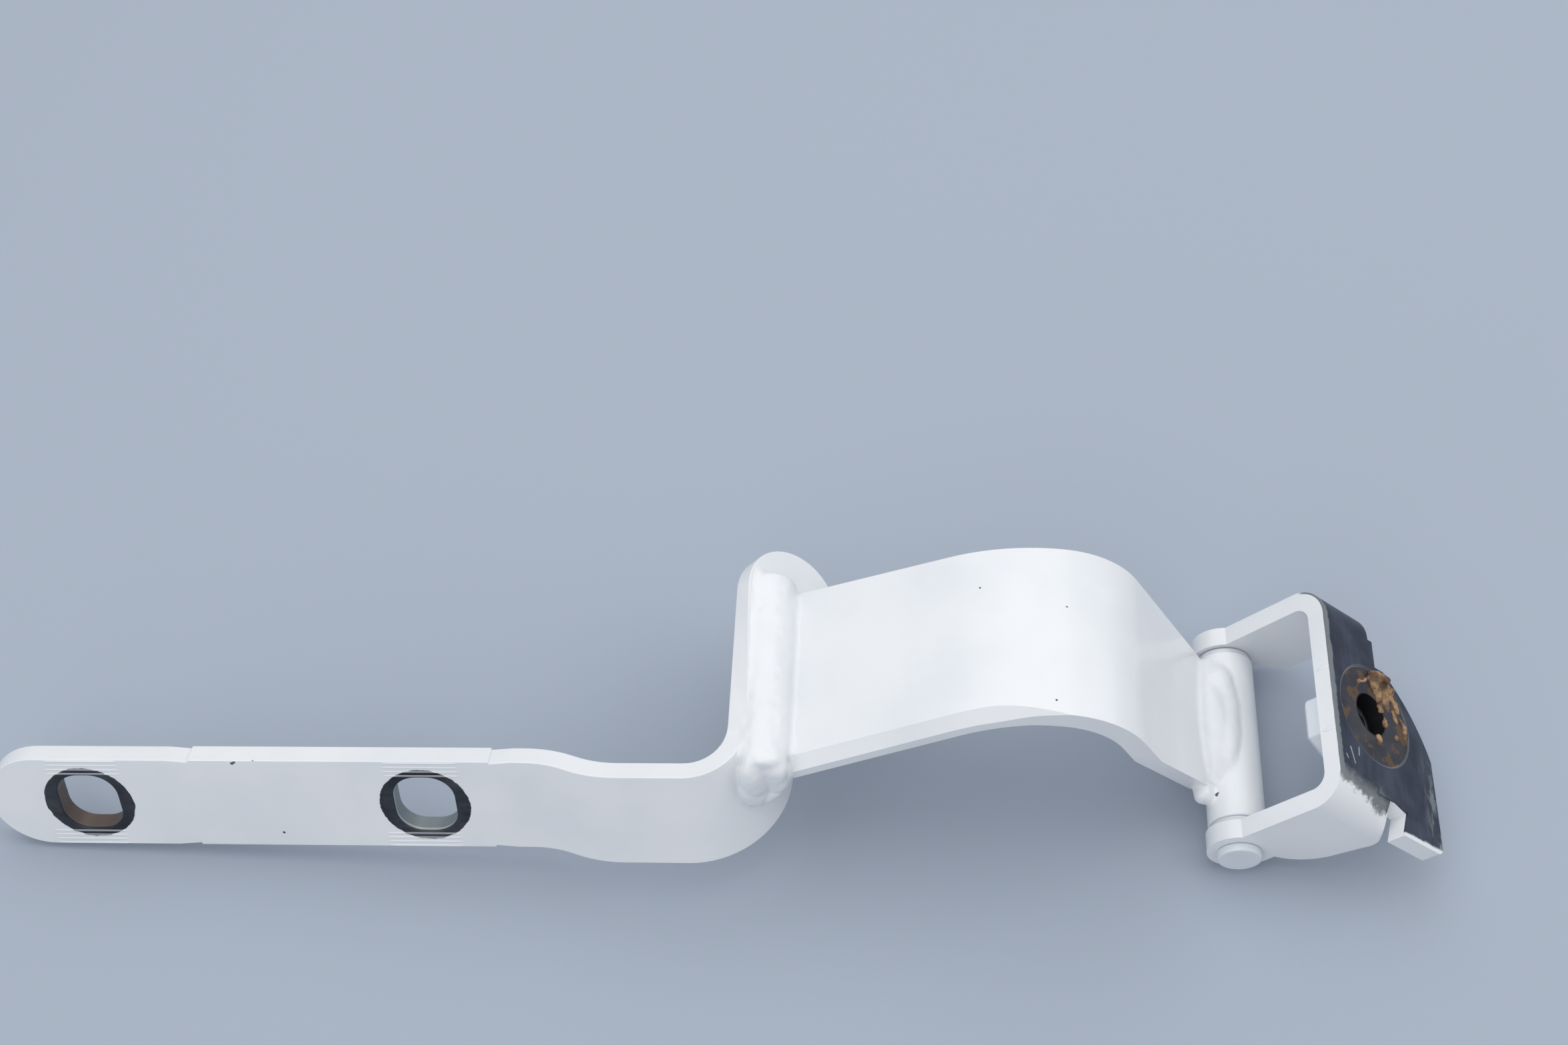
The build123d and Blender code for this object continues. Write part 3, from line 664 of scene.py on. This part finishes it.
rounded("barrel", BARREL_EDGE, painted("barrel_paint", None, tack_pit), "arm")
barrel_joint = ("gooseneck", "barrel")
weld_run("barrel_weld_outer", barrel_joint, BARREL_RIPPLE, BARREL_LUMPS, 20, 22, BARREL_REACH)
weld_run("barrel_weld_inner", barrel_joint, BARREL_RIPPLE)
weld_run("tack_weld", barrel_joint, BARREL_RIPPLE, settle=18, reach=TACK_REACH)


# The bushes: flanged sleeves pressed into both ends of the barrel, with only their flange rims in sight.
# They are drawn steel, painted over with the hinge.

BUSH_EDGE = 0.2 * MM
# The arm's white paint made darker and bluer for the flange rims: painted shade in the gaps at the barrel's
# ends.
BUSH_SHADED_WHITE = (0.70, 0.73, 0.77, 1.0)
BUSH_SHADED_COOL = (0.62, 0.66, 0.71, 1.0)

bush_paint = painted("bush_paint", white=BUSH_SHADED_WHITE, cool=BUSH_SHADED_COOL)
for bush in ("near_bush", "far_bush"):
    rounded(bush, BUSH_EDGE, bush_paint, "arm")


# The bracket: one steel plate folded into two arms and a base with a lobed tongue.
# It is pressed and painted white. The body pillar has rubbed the outer face of its base down to grey
# steel, darkest in the bolt's round seat.

PIN_AT = Vector((0.140433, 0.0, 0.0085))
PIN_NEAR = -26.422 * MM      # where lengths along the pin start
BASE_OUT = Vector((0.66053, 0.0, 0.75080))
BASE_BACK = Vector((0.75080, 0.0, -0.66053))
BASE_FACE = 39.0 * MM
BEND_OUT = 29.5 * MM         # the bends' axes, out from the pin and along it
NEAR_BEND = 6.8 * MM
FAR_BEND = 52.7 * MM
BEND_RADIUS = 9.5 * MM
SLOT_BACK = 14.7 * MM        # the slot between near arm and tongue
BOLT_ALONG = 27.8 * MM
BOLT_BACK = 10.2 * MM
BOLT_BARE = 6.4 * MM         # the bolt hole's wall
SEAT_BACK = 11.6 * MM
SEAT_RADIUS = 14.5 * MM
TEAR = 3.0 * MM              # how ragged the paint's edge is
TEAR_SCALE = 330.0
TORN_SLANT = 0.16            # its edge runs back along the base at this slope
SEAT_SCALE = 210.0
BASE_STREAK = (700.0, 110.0, 700.0)
TONGUE_STREAK = (480.0, 150.0, 480.0)
SEAT_STREAK = (500.0, 300.0, 500.0)
BASE_STEEL = (0.030, 0.038, 0.060, 1.0)
BASE_WORN = (0.08, 0.094, 0.13, 1.0)
SEAT_STEEL = (0.038, 0.038, 0.048, 1.0)
SEAT_WORN = (0.085, 0.082, 0.09, 1.0)
# Colour of the painted highlight round the seat's rim
SEAT_RIM_HIGHLIGHT = (0.33, 0.33, 0.34, 1.0)
SEALANT_STAIN = (0.17, 0.095, 0.045, 1.0)
PRIMER = (0.34, 0.37, 0.37, 1.0)
BARE_BORE = (0.035, 0.036, 0.04, 1.0)
SCRATCH = (0.55, 0.58, 0.6, 1.0)
SCRATCHES = (((13.9, -1.2), (8.9, 0.3)), ((15.2, 2.6), (12.0, 2.2)), ((11.0, -3.4), (9.4, -2.5)))


def base_point(along, back, out=BASE_FACE / MM):
    """A point on the base, from millimetres along the pin, back from the pin, and out to the outer face."""
    along_pin = Vector((0.0, PIN_NEAR + along * MM, 0.0))
    return PIN_AT + BASE_OUT * (out * MM) + BASE_BACK * (back * MM) + along_pin


def spread(one, other):
    """How far two offsets at right angles reach together."""
    return (one ** 2.0 + other ** 2.0) ** 0.5


def scratch(place, tear, start, end):
    """The share of one straight scratch, between two points of the base."""
    first = base_point(*start)
    run = base_point(*end) - first
    passed = place.along(run.normalized(), first)
    aside = (place.away(first) ** 2.0 - passed ** 2.0).most(0.0) ** 0.5
    line = (aside + tear * 0.05).fall(0.12 * MM, 0.3 * MM)
    return line * passed.rise(0.0, 0.4 * MM) * passed.fall(run.length - 0.6 * MM, run.length)


def base_colour(place, along, back, tear, torn):
    """The rubbed steel, with primer at the paint's edges, streaks on the tongue, scratches, the seat and a
    painted highlight on its rim.
    """
    colour = rubbed_steel(place, BASE_STEEL, BASE_WORN, BASE_STREAK)
    primer = torn.fall(3.0 * MM, 8.0 * MM) * back.fall(13.0 * MM, 16.0 * MM)
    primer = primer.most((back + tear * 0.35).fall(-4.9 * MM, -4.3 * MM))
    colour = (primer * 0.7).tint(colour, PRIMER)
    streaks = place.stretched(TONGUE_STREAK).grain(1.0, 4.0, 0.65).rise(0.47, 0.62)
    streaks = streaks * (back + tear * 0.4).rise(28.0 * MM, 35.0 * MM) * along.fall(14.0 * MM, 26.0 * MM)
    colour = (streaks * 0.75).tint(colour, PRIMER)
    for start, end in SCRATCHES:
        colour = (scratch(place, tear, start, end) * 0.85).tint(colour, SCRATCH)
    seat = spread(along - BOLT_ALONG, back - SEAT_BACK)
    stain = place.grain(SEAT_SCALE, 3.0, 0.6).rise(0.53, 0.6)
    seat_steel = rubbed_steel(place, SEAT_STEEL, SEAT_WORN, SEAT_STREAK)
    seat_colour = (stain * 0.85).tint(seat_steel, SEALANT_STAIN)
    colour = seat.fall(SEAT_RADIUS - 0.1 * MM, SEAT_RADIUS + 0.1 * MM).tint(colour, seat_colour)
    # Painted highlight: a light ring just inside the seat's edge, standing for light caught on its rim.
    rim = seat.rise(SEAT_RADIUS - 0.5 * MM, SEAT_RADIUS - 0.2 * MM)
    rim = rim * seat.fall(SEAT_RADIUS, SEAT_RADIUS + 0.3 * MM)
    return (rim * 0.55).tint(colour, SEAT_RIM_HIGHLIGHT)


def rubbed_base(place):
    """The bare outer face of the base, with a torn edge of paint along its near bend."""
    out = place.along(BASE_OUT, PIN_AT)
    back = place.along(BASE_BACK, PIN_AT)
    along = place.make("ShaderNodeSeparateXYZ", {}, {0: place}, "Y") - PIN_NEAR
    tear = place.grain(TEAR_SCALE, 4.0, 0.65) * (2 * TEAR) - TEAR
    torn = along + back * TORN_SLANT + tear
    flat = (out + tear * 0.05).rise(BASE_FACE - 0.6 * MM, BASE_FACE - 0.45 * MM)
    from_far = spread(out - BEND_OUT, along - FAR_BEND)
    far_bend = from_far.rise(BEND_RADIUS - 0.6 * MM, BEND_RADIUS - 0.4 * MM)
    far_bend = far_bend * along.rise(FAR_BEND - 0.2 * MM, FAR_BEND)
    far_bend = far_bend * (out + tear * 0.5).rise(31.5 * MM, 33.0 * MM)
    from_near = spread(out - BEND_OUT, along - NEAR_BEND)
    near_bend = from_near.rise(BEND_RADIUS - 0.5 * MM, BEND_RADIUS - 0.3 * MM)
    near_bend = near_bend * from_near.fall(BEND_RADIUS + 0.2 * MM, BEND_RADIUS + 0.4 * MM)
    near_bend = near_bend * back.fall(SLOT_BACK - 0.3 * MM, SLOT_BACK)
    near_bend = near_bend * along.fall(NEAR_BEND, NEAR_BEND + 0.2 * MM) * out.rise(30.5 * MM, 32.0 * MM)
    tongue = back.rise(SLOT_BACK + 0.1 * MM, SLOT_BACK + 0.5 * MM)
    tongue = tongue * (along + tear * 0.3).rise(-3.8 * MM, -3.0 * MM)
    bare = flat.most(far_bend).most(near_bend) * torn.rise(1.6 * MM, 3.4 * MM).most(tongue)
    bore = spread(along - BOLT_ALONG, back - BOLT_BACK).fall(BOLT_BARE - 0.1 * MM, BOLT_BARE + 0.1 * MM)
    return bare.most(bore), bore.tint(base_colour(place, along, back, tear, torn), BARE_BORE)


rounded("bracket", EDGE, painted("bracket_paint", rubbed_base), "bracket")


# Shear marks: two low pips across the base's front edge, left where the blank was cut off.
# They are part of the bracket's plate, and paint has run over them.

PIP_GRAIN = 0.2 * MM
PIPS_ALONG = (17.9, 36.2)    # millimetres, as are the lumps: back and out from the pin, and half sizes
PIP_LUMPS = ((-5.75, 36.4, (0.75, 0.55, 2.4)), (-5.5, 38.2, (0.7, 0.55, 0.8)))

form = bmesh.new()
for along in PIPS_ALONG:
    for back, out, radii in PIP_LUMPS:
        add_lumps(form, [(base_point(along, back, out) / MM, radii, BASE_OUT, BASE_BACK)])
shear_marks = melted(form, "shear_marks", PIP_GRAIN)
coat(shear_marks, weld_paint)
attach(shear_marks, "bracket")


# The hinge pin: a plain steel pin with a flat head on the near side, riveted over at the far arm.
# It is fixed in the bracket's arms and painted over at both ends.

PIN_EDGE = 0.6 * MM
# The arm's white paint made darker and bluer for the pin: painted shade on its ends.
PIN_SHADED_WHITE = (0.76, 0.80, 0.84, 1.0)
PIN_SHADED_COOL = (0.68, 0.72, 0.77, 1.0)

rounded("hinge_pin", PIN_EDGE, painted("pin_paint", white=PIN_SHADED_WHITE, cool=PIN_SHADED_COOL), "bracket")


# The weld nut: a chamfered steel hexagon nut on the inner side of the base, under the bolt hole.
# It is projection-welded before painting, so paint covers its flats and its bore stays bare.

NUT_EDGE = 0.5 * MM
# The arm's white paint made darker and bluer for the nut: painted shade under the base.
NUT_SHADED_WHITE = (0.74, 0.78, 0.83, 1.0)
NUT_SHADED_COOL = (0.66, 0.70, 0.76, 1.0)
NUT_OUT = 28.6 * MM
NUT_STREAK = (700.0, 700.0, 700.0)
NUT_MIDDLE = base_point(BOLT_ALONG / MM, BOLT_BACK / MM, NUT_OUT / MM)


def bare_thread(place):
    """The nut's bore and its seat on the base, where the steel is bare."""
    out = place.along(BASE_OUT, NUT_MIDDLE)
    axis = (place.away(NUT_MIDDLE) ** 2.0 - out ** 2.0).most(0.0) ** 0.5
    seat = axis.fall(6.6 * MM, 6.8 * MM) * out.rise(4.0 * MM, 4.4 * MM)
    bore = axis.fall(5.5 * MM, 5.8 * MM).most(seat)
    return bore, rubbed_steel(place, BARE_BORE, SEAT_WORN, NUT_STREAK)


nut_paint = painted("nut_paint", bare_thread, white=NUT_SHADED_WHITE, cool=NUT_SHADED_COOL)
rounded("weld_nut", NUT_EDGE, nut_paint, "bracket")


# The nut's thread: one fine helix standing in its bore.
# It is cut by a tap, and left bare inside the paint.

THREAD_RADIUS = 5.15 * MM
THREAD_CREST = 0.42 * MM
THREAD_PITCH = 1.75 * MM
THREAD_LENGTH = 9.0 * MM


def thread_tree(name):
    """A helix with a small round crest, turned and moved into its bore."""
    tree, given, add = new_tree(name, (
        ("Radius", "Float"), ("Crest", "Float"), ("Turns", "Float"),
        ("Length", "Float"), ("Turn", "Rotation"), ("Steel", "Material"),
    ))
    path = {"Resolution": 40, "Rotations": given["Turns"], "Height": given["Length"]}
    path.update({"Start Radius": given["Radius"], "End Radius": given["Radius"]})
    helix = add("GeometryNodeCurveSpiral", path)["Curve"]
    ring = add("GeometryNodeCurvePrimitiveCircle", {"Resolution": 6, "Radius": given["Crest"]})["Curve"]
    crest = add("GeometryNodeCurveToMesh", {"Curve": helix, "Profile Curve": ring, "Fill Caps": True})["Mesh"]
    start = {"Points": given["Starts"], "Instance": crest, "Rotation": given["Turn"]}
    placed = add("GeometryNodeInstanceOnPoints", start)["Instances"]
    return close_tree(tree, add, placed, given["Steel"])


nut_thread = grown(
    "nut_thread",
    [NUT_MIDDLE - BASE_OUT * (THREAD_LENGTH / 2)],
    thread_tree("nut_thread_helix"),
    Radius=THREAD_RADIUS,
    Crest=THREAD_CREST,
    Turns=THREAD_LENGTH / THREAD_PITCH,
    Length=THREAD_LENGTH,
    Turn=BASE_OUT.to_track_quat("Z", "Y").to_euler(),
    Steel=nut_paint,
)
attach(nut_thread, "bracket")


# The residue of sealant: a torn, dried lump left round the bolt hole when the hinge came off.
# It is soft brown sealant, dull, and it sticks to the base; its colour also carries painted light and shade.

# The sealant's own brown, also painted shade in its hollows, and its orange, also painted light on its raised
# clots.
SEALANT_BROWN_AND_SHADE = (0.085, 0.045, 0.022, 1.0)
SEALANT_ORANGE_AND_HIGHLIGHT = (0.43, 0.262, 0.137, 1.0)
SEALANT_ROUGH = 0.55
SEALANT_RELIEF = 0.3 * MM
CLOT_SCALE = 260.0
GRIT_SCALE = 1400.0
SEALANT_GRAIN = 0.26 * MM
SEALANT_FOOT = 38.6          # millimetres out from the pin, just under the base's face
LUMP_STEP = 0.8
LUMP_UNEVEN = 0.45
LUMP_SHIFT = 0.5
CRUMB = 0.75 * MM
BROAD_CRUMBS = (420.0, 0.5)
FINE_CRUMBS = (1100.0, 0.35)
SEALANT_RUNS = (             # points along and back, half width and height
    (((36.4, 6.2), (37.8, 8.8), (39.2, 10.8), (40.6, 12.6)), 0.6, 0.5),
    (((40.6, 12.6), (41.7, 14.4), (41.0, 16.6), (39.4, 18.2), (37.8, 19.8)), 1.25, 1.9),
    (((40.4, 14.6), (38.2, 14.2), (36.0, 14.6), (34.6, 15.4)), 2.3, 1.0),
    (((38.6, 17.0), (36.6, 17.6), (34.4, 18.0), (32.2, 18.4)), 1.9, 0.6),
    (((34.4, 14.8), (32.6, 15.1), (30.6, 15.6)), 1.0, 0.8),
    (((29.2, 16.3), (27.6, 16.6), (26.2, 16.4)), 0.8, 0.6),
    (((37.4, 20.0), (35.4, 21.8), (33.0, 23.2)), 1.0, 0.7),
    (((32.0, 23.8), (29.4, 24.9), (26.8, 25.0), (24.0, 24.4)), 0.7, 0.45),
    (((32.6, 20.8), (30.6, 21.2), (29.6, 22.6)), 0.8, 0.4),
    (((21.6, 12.6), (20.8, 13.4)), 0.9, 0.4),
    (((24.4, 20.4), (25.2, 21.2)), 0.7, 0.35),
)


def run_lumps(points, wide, high):
    """Uneven lumps set close together along a run of sealant on the base."""
    lumps = []
    for (along, back), (next_along, next_back) in zip(points, points[1:]):
        count = max(2, round(math.hypot(next_along - along, next_back - back) / LUMP_STEP))
        for step in range(count):
            share = step / count
            a = along + (next_along - along) * share
            b = back + (next_back - back) * share
            uneven = 1.0 + LUMP_UNEVEN * noise.noise(Vector((a * 0.9, b * 0.9, wide)))
            shift = LUMP_SHIFT * wide * noise.noise(Vector((b * 1.3, a * 1.3, high)))
            radii = (wide * uneven, high * uneven * uneven, wide * uneven)
            lumps.append((base_point(a + shift, b - shift, SEALANT_FOOT) / MM, radii, BASE_BACK, BASE_OUT))
    return lumps


# Painted light and shade over the sealant's own brown: lighter orange on the raised clots, dark brown in the
# hollows.
sealant, shader, place = new_finish("dried_sealant")
clots = place.grain(CLOT_SCALE, 5.0, 0.65)
sealant_relief = clots + place.grain(GRIT_SCALE, 3.0) * 0.4
feed(
    shader,
    Base_Color=clots.rise(0.36, 0.66).tint(SEALANT_BROWN_AND_SHADE, SEALANT_ORANGE_AND_HIGHLIGHT),
    Roughness=SEALANT_ROUGH + clots * 0.3,
    Normal=sealant_relief.bump(0.7, SEALANT_RELIEF),
)
form = bmesh.new()
for points, wide, high in SEALANT_RUNS:
    add_lumps(form, run_lumps(points, wide, high))
residue = melted(form, "sealant_lump", SEALANT_GRAIN, 2)
normals = [v.normal.copy() for v in residue.data.vertices]
for vertex, normal in zip(residue.data.vertices, normals):
    vertex.co += normal * (swell(vertex.co, BROAD_CRUMBS, FINE_CRUMBS) * CRUMB)
coat(residue, sealant)
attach(residue, "bracket")
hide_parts("sealant_residue")
